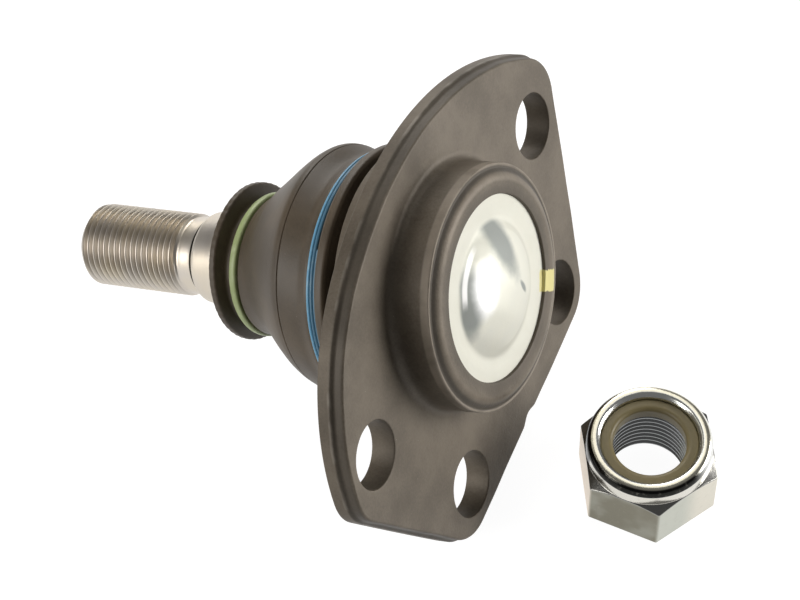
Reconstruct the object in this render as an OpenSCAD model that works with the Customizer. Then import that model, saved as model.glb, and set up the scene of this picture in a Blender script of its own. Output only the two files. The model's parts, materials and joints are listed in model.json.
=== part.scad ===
// Suspension ball joint with a four-hole flange, lying on a table beside its lock nut.
// The joint is drawn with its ball centre at the origin and its cap upwards, then laid down.

/* [Flange] */
// Thickness of the flange
flange_t = 5.6; // [4:0.1:9]
// Pitch circle of the four bolt holes
hole_pcd = 86.7; // [80:0.1:96]
// Diameter of a bolt hole
hole_d = 14.2; // [8:0.1:15]
// Angle of the two outer holes from the straight edge's direction
outer_hole_angle = 90; // [84:0.5:96]
// Angle of the two inner holes from the straight edge's direction
inner_hole_angle = 36.4; // [32:0.1:42]
// Distance of the flange's straight edge from the stud axis
edge_reach = 45.4; // [43:0.1:52]
// Distance of the flange's round side from the stud axis
round_reach = 34.8; // [31:0.1:40]
// Radius of the round side
round_side_r = 72.8; // [66:0.1:90]
// Radius of the corners
corner_r = 11; // [9.5:0.1:12.5]
// Gap between an outer hole's centre and its corner's centre, outwards
corner_shift = 2.2; // [0:0.1:4]
// Radius of the round side's lower part, which curves more tightly
low_round_r = 49.4; // [44:0.1:60]
// Angle about the round side's centre at which the lower part starts
low_round_angle = 18.6; // [10:0.1:26]
// Radius of the lower outer corner
low_corner_r = 9.3; // [8.5:0.1:11]
// Distance of the lower outer corner's far side from the middle
low_reach = 55.3; // [53.5:0.1:57]
// Shift of the lower inner corner along the straight edge, outwards
low_inner_shift = 1.9; // [0:0.1:4]
// Width of the small notch in the straight edge
notch_w = 7; // [3:0.5:10]
// Depth of the small notch in the straight edge
notch_depth = 1.1; // [0.5:0.1:2]
// Place of the notch along the straight edge
notch_shift = -0.9; // [-10:0.1:10]

/* [Housing] */
// Outer radius of the barrel
barrel_r = 25.7; // [24.8:0.1:28]
// Height of the barrel above the flange
barrel_h = 9.1; // [7.5:0.1:14]
// Radius of the fillet between the barrel and the flange
barrel_fillet = 2.6; // [0.5:0.1:4]
// Outer radius of the locating collar
collar_r = 28.5; // [27:0.1:30]
// Length of the locating collar
collar_len = 6.4; // [4:0.1:8]
// Height of the ball centre below the flange's front face
ball_depth = 12; // [11:0.1:13]
// Wall between the bearing and the boot seat
seat_wall = 3.2; // [2.4:0.1:4]
// Height of the raised end that keeps the boot on its seat
seat_lip_h = 0.7; // [0.3:0.1:1.2]
// Thickness of the throat that holds the lower shell
throat_t = 3; // [2:0.1:4]
// Width of the rolled rim over the cap
rim_lap = 1.8; // [1:0.1:2.6]
// Height of the rolled bead above the barrel's corner
bead_h = 1; // [0.5:0.1:1.6]
// Distance of the bead's crest from the barrel's outside
bead_setback = 3.4; // [2.8:0.1:4]

/* [Cap] */
// Thickness of the pressed cap
cap_t = 2.2; // [1.5:0.1:3]
// Radius of the domed middle
dome_r = 14.2; // [12:0.1:16]
// Height of the domed middle
dome_h = 3.6; // [2:0.1:5]
// Depth of the cap's flat face below the bead
cap_recess = 0.9; // [0.4:0.1:1.5]

/* [Ball and bearing] */
// Diameter of the ball
ball_d = 31; // [29:0.1:32]
// Thickness of the bearing shells at the equator
shell_t = 5.2; // [4:0.1:6]
// Running clearance between the ball and the shells
ball_gap = 0.05; // [0.02:0.01:0.1]
// Depth of the lower shell below the ball centre
shell_depth = 8.5; // [7.5:0.1:9.5]
// Thickness of the disc spring
spring_t = 1.2; // [0.8:0.1:1.6]
// Cone height of the disc spring
spring_cone = 1; // [0.5:0.1:1.5]

/* [Stud] */
// Thread diameter
thread_d = 18; // [16:0.5:19]
// Length of the thread
thread_len = 27.7; // [22:0.1:34]
// Length of the relief neck behind the thread
relief_len = 3.6; // [2:0.1:5]
// Diameter of the relief neck
relief_d = 16.8; // [15:0.1:17.5]
// Radius of the cone's small end
cone_small_r = 9.9; // [9.3:0.1:10.2]
// Length of the cone
cone_len = 9.6; // [7:0.1:14]
// Growth of the cone's radius over its length
cone_growth = 0.6; // [0.4:0.05:0.9]
// Length of the plain land under the boot's lip
land_len = 8.6; // [7.5:0.1:9]
// Radius of the neck below the ball
neck_r = 8; // [7:0.1:8.6]
// Distance from the ball centre to the stud's tip
stud_reach = 82; // [78:0.5:96]
// Chamfer at the stud's tip
tip_chamfer = 1.9; // [1:0.1:2.5]
// Sideways lean of the stud as it lies
stud_lean = 2; // [0:0.1:6]

/* [Boot] */
// Thickness of the rubber on its seat
rubber_t = 2.1; // [1.6:0.1:2.6]
// Thickness of the rubber between the fold line and the groove
boot_wall = 2.3; // [1.6:0.1:2.8]
// Gap between the collar and the boot's wide end
boot_gap = 2.3; // [1.5:0.1:2.4]
// Radius of the boot's belly
belly_r = 26.5; // [26.2:0.1:29]
// Radius of the boot at its fold line
fold_r = 26.1; // [25.2:0.1:27.2]
// Distance of the fold line from the ball centre
fold_z = 14.9; // [13.5:0.1:16]
// Radius of the boot's bead beside the collar
boot_bead_r = 28.4; // [27.5:0.1:29.5]
// Radius of the boot's lip at the stud
boot_lip_r = 16.7; // [15.5:0.1:18]
// Thickness of the boot's lip at the stud
boot_lip_t = 1.8; // [1.2:0.1:2.4]
// Distance from the ball centre to the boot's lip
boot_reach = 39.4; // [38.5:0.1:41]
// Push of the boot's slope towards the straight edge, as its folds hold it
boot_push_edge = -1.2; // [-1.5:0.1:1.5]
// Push of the boot's slope towards the upper end
boot_push_up = 1.1; // [-1.5:0.1:1.5]
// Radius of the groove for the narrow end's ring
groove_r = 14.1; // [13.6:0.1:14.8]
// Distance of that groove from the boot's lip
groove_setback = 4.2; // [3.5:0.1:5]

/* [Rings] */
// Wire diameter of the wide end's ring
wire_d = 1; // [0.8:0.1:1.5]
// Distance of the wire's full turn from the ball centre
wire_level = 7.2; // [7:0.1:7.6]
// Place of the wire's visible end around the boot
wire_end_angle = 207; // [0:1:360]
// Angle over which the wire lies double
wire_overlap = 108; // [30:1:180]
// Thickness of the narrow end's ring
stud_ring_t = 1.3; // [1:0.1:1.8]
// Width of the narrow end's ring
stud_ring_w = 1.8; // [1.4:0.1:3]

/* [Nut] */
// Width across the flats of the nut
nut_af = 27; // [26:0.5:30]
// Height of the whole nut
nut_h = 17.6; // [16.5:0.1:20]
// Height of the nut's flats
nut_flat_h = 13.5; // [12:0.1:14.2]
// Diameter of the nut's plain bore, the thread's minor diameter
nut_bore_d = 16.38; // [15:0.01:17.2]
// Radius of the nylon ring
nylon_r = 10.3; // [9.8:0.1:10.8]
// Radius of the hole in the nylon ring
nylon_hole_r = 7.75; // [7.4:0.05:8.2]
// Distance from the flange's contact edge to the nut's axis
nut_ahead = 32.85; // [22:0.05:60]
// Sideways place of the nut's axis
nut_side = -4.6; // [-25:0.1:25]
// Turn of the nut about its axis
nut_turn = -2.3; // [-30:0.1:30]

/* [Hidden] */
$fn = 96;
// Clearance between parts that are fitted without play
fit_gap = 0.05;
// Clearance between a soft part and what it grips
soft_gap = 0.1;
eps = 0.01;
// Step between the flange's round side and its corners, so that the arcs cross instead of only touching
blend_slack = 0.02;

// Levels along the stud axis, measured from the ball centre
flange_front = ball_depth;
flange_back = ball_depth - flange_t;
collar_end = flange_back - collar_len;
barrel_top = flange_front + barrel_h;
bead_top = barrel_top + bead_h;
cap_top = bead_top - cap_recess;
cap_under = cap_top - cap_t;
throat_top = -shell_depth;
throat_end = throat_top - throat_t;

// Radii about the stud axis
ball_r = ball_d / 2;
shell_r = ball_r + shell_t;
bore_r = shell_r + fit_gap;
cap_r = bore_r + 0.5;
rim_r = cap_r - rim_lap;
seat_r = bore_r + seat_wall;
shell_mouth_r = sqrt(ball_r * ball_r - shell_depth * shell_depth) + 0.2;
throat_r = shell_mouth_r + 2.4;
thread_r = thread_d / 2;
cone_big_r = cone_small_r + cone_growth;

// Levels along the stud
thread_end = stud_reach - thread_len;
cone_start = thread_end - relief_len - 0.9;
cone_end = cone_start - cone_len;
land_end = cone_end - land_len;

// Centres of the bolt holes and of the flange's corners
function hole_at(a) = [hole_pcd / 2 * cos(a), hole_pcd / 2 * sin(a)];
outer_hole = hole_at(outer_hole_angle);
inner_hole = hole_at(inner_hole_angle);
round_centre = round_side_r - round_reach;
function corner_back(y) =
    round_centre - sqrt(pow(round_side_r - corner_r, 2) - y * y);
outer_corner = [corner_back(outer_hole[1] + corner_shift), outer_hole[1] + corner_shift];
inner_corner = [edge_reach - corner_r, inner_hole[1] + 0.4];

// Lower end of the flange: the round side turns into a tighter arc that ends in the lower outer corner
low_way = [cos(low_round_angle), sin(low_round_angle)];
low_turn = [round_centre, 0] - (round_side_r - blend_slack) * low_way;
low_centre = low_turn + low_round_r * low_way;
low_outer_y = low_corner_r - low_reach;
low_outer = [low_centre[0] - sqrt(pow(low_round_r + blend_slack - low_corner_r, 2)
    - pow(low_outer_y - low_centre[1], 2)), low_outer_y];
low_inner = [inner_corner[0], -inner_corner[1] - low_inner_shift];

// The joint lies on the tip's first full thread and on the flange's straight edge.
tip_level = (stud_reach - tip_chamfer) * cos(stud_lean);
tilt = atan2(edge_reach - thread_r, tip_level + flange_back);
ball_height = edge_reach * cos(tilt) - flange_back * sin(tilt);
edge_x = flange_back * cos(tilt) + edge_reach * sin(tilt);

// Level of the nylon ring's seat in the nut
nylon_seat = nut_flat_h - 0.4;

// Reach of the whole set along the table, for the origin in its middle
tip_end_r = thread_r - tip_chamfer;
tip_x = -stud_reach * cos(stud_lean) * cos(tilt)
    - tip_end_r * sqrt(pow(sin(tilt), 2) + pow(cos(tilt) * sin(stud_lean), 2));
nut_corner_r = nut_af / sqrt(3);
nut_x = edge_x + nut_ahead + nut_corner_r * cos(nut_turn);
middle_x = (tip_x + nut_x) / 2;
middle_y = (outer_corner[1] + corner_r - low_reach) / 2;

module lay_down() {
    translate([-middle_x, -middle_y, ball_height]) rotate([0, 90 - tilt, 0]) children();
}

module lean() {
    rotate([stud_lean, 0, 0]) children();
}

module place_nut() {
    translate([edge_x + nut_ahead - middle_x, nut_side - middle_y, 0])
        rotate([0, 0, nut_turn]) children();
}

// Ring of rectangular section between two radii and two levels
module ring(r_in, r_out, low, high) {
    translate([0, 0, low]) difference() {
        cylinder(h = high - low, r = r_out);
        translate([0, 0, -1]) cylinder(h = high - low + 2, r = r_in);
    }
}

function unit(v) = v / norm(v);

// Outward normal of the straight side that touches two corners, given as centre and radius
function side_normal(a, ra, b, rb, side) =
    let (d = b - a, angle = atan2(d[1], d[0]) + side * acos((ra - rb) / norm(d)))
    [cos(angle), sin(angle)];

// Flange outline: four round corners, straight sides and a round side of two arcs
module flange_outline() {
    up = side_normal(outer_corner, corner_r, inner_corner, corner_r, 1);
    down = side_normal(low_outer, low_corner_r, low_inner, corner_r, -1);
    back_end = outer_corner + corner_r * unit(outer_corner - [round_centre, 0]);
    low_end = low_outer + low_corner_r * unit(low_outer - low_centre);
    polygon([
        back_end, outer_corner + corner_r * up, inner_corner + corner_r * up,
        [edge_reach, inner_corner[1]], [edge_reach, low_inner[1]],
        low_inner + corner_r * down, low_outer + low_corner_r * down, low_end, low_turn
    ]);
    for (c = [outer_corner, inner_corner, low_inner]) translate(c) circle(corner_r);
    translate(low_outer) circle(low_corner_r);
    intersection() {
        translate([round_centre, 0]) circle(round_side_r - blend_slack);
        translate([-round_reach - 5, low_turn[1]])
            square([back_end[0] + round_reach + 5, back_end[1] - low_turn[1]]);
    }
    intersection() {
        translate(low_centre) circle(low_round_r);
        translate([-round_reach - 5, low_end[1]])
            square([low_end[0] + round_reach + 5, low_turn[1] - low_end[1]]);
    }
}

module bolt_holes() {
    for (c = [outer_hole, inner_hole], s = [-1, 1])
        translate([c[0], s * c[1], flange_back - 1]) cylinder(h = flange_t + 2, d = hole_d);
}

module edge_notch() {
    notch_r = (notch_w * notch_w / 4 + notch_depth * notch_depth) / (2 * notch_depth);
    translate([edge_reach + notch_r - notch_depth, notch_shift, flange_back - 1])
        cylinder(h = flange_t + 2, r = notch_r);
}

// Section of the housing's round body, radius against level
module housing_section() {
    foot = [barrel_r + barrel_fillet, flange_front + barrel_fillet];
    polygon([
        [throat_r, throat_top], [bore_r, throat_top], [bore_r, cap_under], [cap_r, cap_under],
        [cap_r, cap_top], [rim_r, cap_top], [rim_r, bead_top - 0.3], [rim_r + 0.4, bead_top],
        [barrel_r - bead_setback, bead_top], [barrel_r - 1.5, barrel_top],
        [barrel_r - 0.6, barrel_top], [barrel_r, barrel_top - 0.6],
        each [for (a = [0:15:75]) foot + barrel_fillet * [-cos(a), -sin(a)]],
        [collar_r, flange_front - 0.3],
        [collar_r, collar_end + 0.6], [collar_r - 0.6, collar_end], [seat_r, collar_end],
        [seat_r, throat_end + 3], [seat_r + seat_lip_h, throat_end + 2.2],
        [seat_r + seat_lip_h, throat_end + 1], [seat_r - 0.8, throat_end],
        [throat_r + 1.8, throat_end], [throat_r, throat_end + 2.2]
    ]);
}

module housing() {
    color([0.36, 0.33, 0.29]) lay_down() difference() {
        union() {
            rotate_extrude() housing_section();
            difference() {
                translate([0, 0, flange_back]) linear_extrude(flange_t) flange_outline();
                translate([0, 0, flange_back - 1]) cylinder(h = flange_t + 2, r = (bore_r + barrel_r) / 2);
            }
        }
        bolt_holes();
        edge_notch();
    }
}

// Section of the pressed cap: a flat rim and a hollow dome of the same sheet
module cap_section() {
    top = cap_top - fit_gap;
    under = cap_under + fit_gap;
    dome_sphere_r = (dome_r * dome_r + dome_h * dome_h) / (2 * dome_h);
    dome_centre = top + dome_h - dome_sphere_r;
    difference() {
        union() {
            translate([0, under]) square([cap_r - fit_gap, top - under]);
            intersection() {
                translate([0, dome_centre]) circle(dome_sphere_r);
                translate([0, under]) square([dome_r, top - under + dome_h + 1]);
            }
        }
        intersection() {
            translate([0, dome_centre]) circle(dome_sphere_r - cap_t);
            translate([-1, 0]) square([dome_r - cap_t * 0.4 + 1, top + dome_h]);
        }
    }
}

module closing_cap() {
    color([0.86, 0.87, 0.85]) lay_down() rotate_extrude() cap_section();
}

// Ball seat: a block with the ball's running sphere taken out
module ball_space() {
    sphere(r = ball_r + ball_gap);
}

module upper_bearing_shell() {
    shell_top = cap_under - spring_t - spring_cone - 0.15;
    color([0.9, 0.89, 0.84]) lay_down() difference() {
        ring(0, shell_r, 0.15, shell_top);
        ball_space();
        cylinder(h = shell_top + 1, r = 6);
    }
}

module lower_bearing_shell() {
    color([0.9, 0.89, 0.84]) lay_down() difference() {
        ring(0, shell_r, throat_top + fit_gap, -0.15);
        ball_space();
    }
}

module preload_spring() {
    under = cap_under - fit_gap;
    inner = 9;
    outer = 18;
    color([0.45, 0.45, 0.47]) lay_down() rotate_extrude() polygon([
        [inner, under - spring_t - spring_cone], [outer, under - spring_t],
        [outer, under], [inner, under - spring_cone]
    ]);
}

module ball_stud() {
    color([0.74, 0.72, 0.68]) lay_down() lean() {
        difference() {
            sphere(r = ball_r);
            translate([-ball_r, -ball_r, ball_r - 0.9]) cube([ball_d, ball_d, 2]);
        }
        rotate_extrude() polygon([
            [0, 0], [neck_r, 0], [neck_r, -land_end + 5], [neck_r + 0.7, -land_end + 2.4],
            [cone_big_r, -land_end], [cone_big_r, -cone_end], [cone_small_r, -cone_start],
            [relief_d / 2, -thread_end + relief_len], [relief_d / 2, -thread_end + 0.6],
            [thread_r, -thread_end], [thread_r, -stud_reach + tip_chamfer],
            [tip_end_r, -stud_reach], [0, -stud_reach]
        ]);
    }
}

// Boot profile as [level below the ball centre, radius], from the wide end to the stud
boot_start = boot_gap - collar_end;
wire_groove_start = wire_level - 2;
wire_groove_end = wire_level + 0.8;
groove_end = boot_reach - groove_setback;
neck_level = groove_end - stud_ring_w - 0.6;
wire_seat_r = seat_r + rubber_t;
// Slope between the fold line and the neck, as shares of the way along and inwards
boot_slope = [
    [0.08, 0.976], [0.19, 0.888], [0.35, 0.728], [0.52, 0.536], [0.69, 0.352], [0.84, 0.208], [0.94, 0.112]
];
function slope_point(share, inset) =
    [fold_z + share[0] * (neck_level - fold_z), groove_r + share[1] * (fold_r - groove_r) - inset];
boot_outer = [
    [boot_start, boot_bead_r - 0.5], [boot_start + 0.6, boot_bead_r],
    [wire_groove_start - 0.8, boot_bead_r], [wire_groove_start, wire_seat_r],
    [wire_groove_end, wire_seat_r], [wire_groove_end + 0.7, belly_r - 0.3],
    [wire_groove_end + 2, belly_r - 0.1], [wire_groove_end + 3.8, belly_r],
    [fold_z - 0.5, fold_r + 0.5], [fold_z, fold_r],
    each [for (share = boot_slope) slope_point(share, 0)],
    [neck_level + 0.4, groove_r + 0.8], [neck_level + 0.5, groove_r], [groove_end, groove_r],
    [groove_end + 0.1, groove_r - 0.5], [boot_reach - boot_lip_t - 0.5, groove_r - 0.5],
    [boot_reach - boot_lip_t, boot_lip_r - 0.3], [boot_reach - boot_lip_t + 0.3, boot_lip_r],
    [boot_reach - 0.2, boot_lip_r], [boot_reach, boot_lip_r - 0.3]
];
seat_lip_level = -throat_end - 3.3;
boot_inner = [
    [boot_reach, cone_big_r + soft_gap], [neck_level + 1.8, cone_big_r + soft_gap],
    each [for (i = [len(boot_slope) - 1:-1:0]) slope_point(boot_slope[i], boot_wall)],
    [-throat_end + 0.5, seat_r + seat_lip_h + 0.5], [seat_lip_level + 0.1, seat_r + seat_lip_h + 0.4],
    [seat_lip_level - 0.1, seat_r + soft_gap], [boot_start, seat_r + soft_gap]
];
boot_sides = 72;

// Smooth rise from 0 to 1 between two levels
function rise(level, low, high) =
    let (t = min(max((level - low) / (high - low), 0), 1)) t * t * (3 - 2 * t);
// Share of the stud's lean that the rubber takes up at a level: none at the clamp, all past the fold
function lean_share(level) = rise(level, 8, fold_z + 2);
// Share of the sideways push at a level: none at the clamp and at the narrow end's ring
function push_share(level) = rise(level, 10, 17) - rise(level, 27, neck_level + 0.7);
function boot_point(p, a) =
    let (b = stud_lean * lean_share(p[0]), push = push_share(p[0]), z = -p[0],
        y = p[1] * sin(a) + boot_push_up * push)
    [p[1] * cos(a) + boot_push_edge * push, y * cos(b) - z * sin(b), y * sin(b) + z * cos(b)];

module dust_boot() {
    loop = concat(boot_outer, boot_inner);
    n = len(loop);
    points = [for (i = [0:boot_sides - 1], p = loop) boot_point(p, 360 * i / boot_sides)];
    faces = [for (i = [0:boot_sides - 1], j = [0:n - 1])
        let (i2 = (i + 1) % boot_sides, j2 = (j + 1) % n)
        [i * n + j, i * n + j2, i2 * n + j2, i2 * n + j]];
    color([0.24, 0.21, 0.18]) lay_down() polyhedron(points = points, faces = faces, convexity = 6);
}

// Wound wire: one full turn and an overlapping stretch of a second turn beside it
module boot_wire_ring() {
    wire_r = wire_seat_r + soft_gap + wire_d / 2;
    color([0.35, 0.58, 0.74]) lay_down() {
        translate([0, 0, -wire_level]) rotate_extrude() translate([wire_r, 0]) circle(d = wire_d);
        translate([0, 0, -wire_level + 0.95 * wire_d]) rotate([0, 0, wire_end_angle])
            rotate_extrude(angle = wire_overlap) translate([wire_r, 0]) circle(d = wire_d);
    }
}

module stud_ring() {
    inner = groove_r + soft_gap;
    color([0.62, 0.69, 0.49]) lay_down() lean()
        ring(inner, inner + stud_ring_t, soft_gap - groove_end, soft_gap - groove_end + stud_ring_w);
}

// Hexagon with its upper corners turned off at thirty degrees
module hexagon_block() {
    intersection() {
        cylinder(h = nut_flat_h, r = nut_corner_r, $fn = 6);
        union() {
            cylinder(h = nut_flat_h - 1.1, r = nut_corner_r + 1);
            translate([0, 0, nut_flat_h - 1.1 - eps])
                cylinder(h = 1.1 + eps, r1 = nut_corner_r, r2 = nut_af / 2);
        }
    }
}

module lock_nut() {
    flat_r = nut_af / 2;
    color([0.75, 0.77, 0.78]) place_nut() difference() {
        union() {
            hexagon_block();
            rotate_extrude() polygon([
                [0, nut_flat_h - 1], [flat_r - 0.1, nut_flat_h - 1], [flat_r - 0.1, nut_flat_h + 1.1],
                [flat_r - 0.2, nut_flat_h + 2.3], [flat_r - 0.5, nut_h - 0.7], [flat_r - 1.05, nut_h - 0.15],
                [flat_r - 1.8, nut_h], [nylon_r + 0.6, nut_h], [nylon_r, nut_h - 0.7], [0, nut_h - 0.7]
            ]);
        }
        translate([0, 0, -1]) cylinder(h = nut_h + 2, d = nut_bore_d);
        translate([0, 0, nylon_seat]) cylinder(h = nut_h, r = nylon_r);
    }
}

module nylon_insert() {
    color([0.58, 0.53, 0.38]) place_nut()
        ring(nylon_hole_r, nylon_r - fit_gap, nylon_seat + fit_gap, nut_h - 1.5);
}

housing();
closing_cap();
upper_bearing_shell();
lower_bearing_shell();
preload_spring();
ball_stud();
dust_boot();
boot_wire_ring();
stud_ring();
lock_nut();
nylon_insert();
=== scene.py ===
import json
import math

import bmesh
import bpy
import numpy as np
from bpy.props import FloatProperty, FloatVectorProperty, IntProperty, PointerProperty
from mathutils import Matrix, Vector
from mathutils.geometry import delaunay_2d_cdt


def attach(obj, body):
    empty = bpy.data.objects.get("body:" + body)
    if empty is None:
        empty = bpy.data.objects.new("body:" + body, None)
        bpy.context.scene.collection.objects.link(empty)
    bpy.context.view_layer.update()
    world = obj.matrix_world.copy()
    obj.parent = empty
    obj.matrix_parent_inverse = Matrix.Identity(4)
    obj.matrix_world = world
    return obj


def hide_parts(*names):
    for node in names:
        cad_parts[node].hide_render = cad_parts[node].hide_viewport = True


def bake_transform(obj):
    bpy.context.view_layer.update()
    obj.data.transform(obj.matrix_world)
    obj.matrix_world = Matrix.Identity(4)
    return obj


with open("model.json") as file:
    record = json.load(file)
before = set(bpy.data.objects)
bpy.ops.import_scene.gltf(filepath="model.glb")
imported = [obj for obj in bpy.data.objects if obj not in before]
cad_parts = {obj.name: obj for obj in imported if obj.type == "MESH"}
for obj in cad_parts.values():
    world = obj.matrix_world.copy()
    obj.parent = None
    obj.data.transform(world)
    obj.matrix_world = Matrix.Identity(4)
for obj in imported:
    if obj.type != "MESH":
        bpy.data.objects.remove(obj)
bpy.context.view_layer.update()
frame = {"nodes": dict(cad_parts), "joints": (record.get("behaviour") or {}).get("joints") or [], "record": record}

bl_info = {
    "name": "Suspension Ball Joint",
    "version": (1, 0, 0),
    "blender": (4, 5, 0),
    "location": "View3D > Sidebar > Ball Joint",
    "description": "Builds a flanged ball joint with its boot, rings and lock nut around the packed solids",
    "category": "Object",
}

MM = 0.001
MOUNTS = {m["name"]: m for m in frame["record"]["mounts"]}
JOINTS = {j["name"]: j for j in frame["joints"]}


# Places and frames

class Placement:
    """An origin and three unit axes in the row frame; at() puts points in millimetres there."""

    def __init__(self, origin, z_axis, x_hint):
        self.origin = np.array(origin, float)
        z = np.array(z_axis, float) / np.linalg.norm(z_axis)
        x = np.array(x_hint, float) - (np.array(x_hint, float) @ z) * z
        self.x, self.z = x / np.linalg.norm(x), z
        self.y = np.cross(self.z, self.x)

    def at(self, points):
        """origin + MM (x X + y Y + z Z) for points of shape (..., 3)."""
        axes = np.stack([self.x, self.y, self.z])
        return self.origin + MM * (np.asarray(points, float) @ axes)


BALL = JOINTS["swing"]["pos_m"]
CAP_WAY = -np.array(MOUNTS["locating_collar"]["axis"], float)
EDGE_WAY = np.cross((0.0, 1.0, 0.0), CAP_WAY)
BODY = Placement(BALL, CAP_WAY, EDGE_WAY)
STUD = Placement(BALL, -np.array(MOUNTS["stud_thread"]["axis"], float), EDGE_WAY)
LEAN = math.acos(float(np.clip(BODY.z @ STUD.z, -1, 1)))
NUT_AT = (*MOUNTS["nut_thread"]["pos_m"][:2], 0.0)
NUT = Placement(NUT_AT, (0, 0, 1), (1, 0, 0))


# Sizes and colours

def mount_size(mount, dimension):
    """A size of one of the part's mounts in millimetres, as the frame gives it."""
    return MOUNTS[mount]["dims"][dimension]


def length(name, description, value_mm):
    """A length property with its default in millimetres."""
    return FloatProperty(name=name, description=description, default=value_mm * MM, unit="LENGTH",
                         precision=5)


def turn_by(name, description, degrees):
    """An angle property with its default in degrees."""
    return FloatProperty(name=name, description=description, default=math.radians(degrees), subtype="ANGLE")


def lamp_power(name, description, watts):
    """A lamp's power property."""
    return FloatProperty(name=name, description=description, default=watts, min=0, unit="POWER")


def colour(name, description, value):
    """A colour property with its default as linear red, green and blue."""
    return FloatVectorProperty(name=name, description=description, default=value, size=3, min=0, max=1,
                               subtype="COLOR")


class HousingSettings(bpy.types.PropertyGroup):
    flange_front: length("Flange front", "Level of the flange's front face above the ball centre", 12.0)
    flange_t: length("Flange thickness", "Thickness of the flange", 5.6)
    hole_r: length("Hole radius", "Radius of a bolt hole", mount_size("bolts_far", "hole_r_mm"))
    hole_circle_r: length("Hole circle radius", "Distance of the bolt holes from the axis", 43.35)
    corner_r: length("Corner radius", "Radius of the flange's corners", 11.0)
    low_corner_r: length("Lower corner radius", "Radius of the lower outer corner", 9.3)
    low_reach: length("Lower reach", "Distance of the lower outer corner's far side from the middle", 55.3)
    low_shift: length("Lower shift", "Shift of the lower inner corner outwards", 1.9)
    low_round_r: length("Lower round radius", "Radius of the round side's lower part", 49.4)
    low_round_turn: turn_by("Lower round turn", "Angle at which that part starts", 18.6)
    edge_reach: length("Edge reach", "Distance of the straight edge from the axis", 45.4)
    round_reach: length("Round side reach", "Distance of the round side from the axis", 34.8)
    round_side_r: length("Round side radius", "Radius of the round side", 72.8)
    barrel_r: length("Barrel radius", "Outer radius of the barrel", 25.7)
    collar_r: length("Collar radius", "Radius of the locating collar", mount_size("locating_collar", "r_mm"))
    edge_rounding: length("Edge rounding", "Rounding of the front edge", 0.95)
    parting: length("Parting line", "Level of the forging's parting line above the ball centre", 9.3)
    steel: colour("Phosphated steel", "Brown-grey coat of the forging", (0.160, 0.134, 0.102))
    steel_dark: colour("Dark phosphate", "Darker places of that coat", (0.094, 0.077, 0.057))


class CapSettings(bpy.types.PropertyGroup):
    cap_r: length("Cap radius", "Radius of the pressed cap", 21.2)
    dome_r: length("Dome radius", "Radius of the domed middle", 14.2)
    dome_h: length("Dome height", "Height of the domed middle", 3.6)
    zinc: colour("Zinc", "Bright plating of the cap", (0.745, 0.74, 0.66))
    paint: colour("Paint mark", "Yellow dab across the cap's edge", (0.76, 0.69, 0.30))


class StudSettings(bpy.types.PropertyGroup):
    thread_r: length("Thread radius", "Outer radius of the thread", mount_size("stud_thread", "r_mm"))
    pitch: length("Pitch", "Pitch of the thread", 1.5)
    reach: length("Reach", "Distance from the ball centre to the tip", 82.0)
    thread_start: length("Thread start", "Distance from the ball centre to the thread's start", 54.3)
    ball_r: length("Ball radius", "Radius of the ball", 15.5)
    steel: colour("Machined steel", "Bare steel of the stud", (0.63, 0.585, 0.53))


class BootSettings(bpy.types.PropertyGroup):
    belly_r: length("Belly radius", "Radius of the boot's belly", 26.1)
    fold_level: length("Fold level", "Distance from the ball centre to the fold line", 14.9)
    lip_r: length("Lip radius", "Radius of the lip at the stud", 16.7)
    reach: length("Reach", "Distance from the ball centre to the lip", 39.4)
    scallops: IntProperty(name="Scallops", description="Scallops around the lip", default=54, min=8, max=90)
    rubber: colour("Rubber", "Colour of the rubber", (0.094, 0.071, 0.046))
    wire_r: length("Wire radius", "Radius of the blue wire", 0.4)
    wire_blue: colour("Wire blue", "Coat of the wire ring", (0.150, 0.40, 0.62))
    ring_green: colour("Ring green", "Colour of the narrow ring", (0.38, 0.46, 0.215))


class NutSettings(bpy.types.PropertyGroup):
    flats: length("Across flats", "Width of the nut across its flats", 27.0)
    height: length("Height", "Height of the nut", 17.6)
    corner_h: length("Corner height", "Height at which the cone meets the hexagon's corners", 11.9)
    collar_r: length("Collar radius", "Radius of the rolled collar's foot", 13.42)
    pitch: length("Pitch", "Pitch of the thread", 1.5)
    turn: turn_by("Turn", "Turn of the nut about its axis", -2.3)
    zinc: colour("Nut zinc", "Bright plating of the nut", (0.80, 0.80, 0.78))
    nylon: colour("Nylon", "Tan locking ring", (0.225, 0.185, 0.090))


class StageSettings(bpy.types.PropertyGroup):
    floor_grey: FloatProperty(name="Floor", description="Share of light that the floor sends back",
                              default=0.45, min=0, max=1, subtype="FACTOR")
    key_power: lamp_power("Key light", "Power of the lamp before the flange", 6.0)
    near_power: lamp_power("Near light", "Power of the lamp on the near side of the stud", 3.2)
    far_power: lamp_power("Far light", "Power of the lamp on the far side of the stud", 2.6)
    top_power: lamp_power("Top light", "Power of the lamp that the nut's collar mirrors", 0.8)


def sizes_of(group):
    """A group's lengths in millimetres, its colours as tuples and its other values as they are, by name."""
    found = {}
    for name in group.__annotations__:
        value = getattr(group, name)
        if isinstance(value, float):
            is_length = group.bl_rna.properties[name].unit == "LENGTH"
            found[name] = value / MM if is_length else value
        else:
            found[name] = value if isinstance(value, int) else tuple(value)
    return found


# Surfaces

# Columns of a turned piece.
COLUMNS = 288


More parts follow.
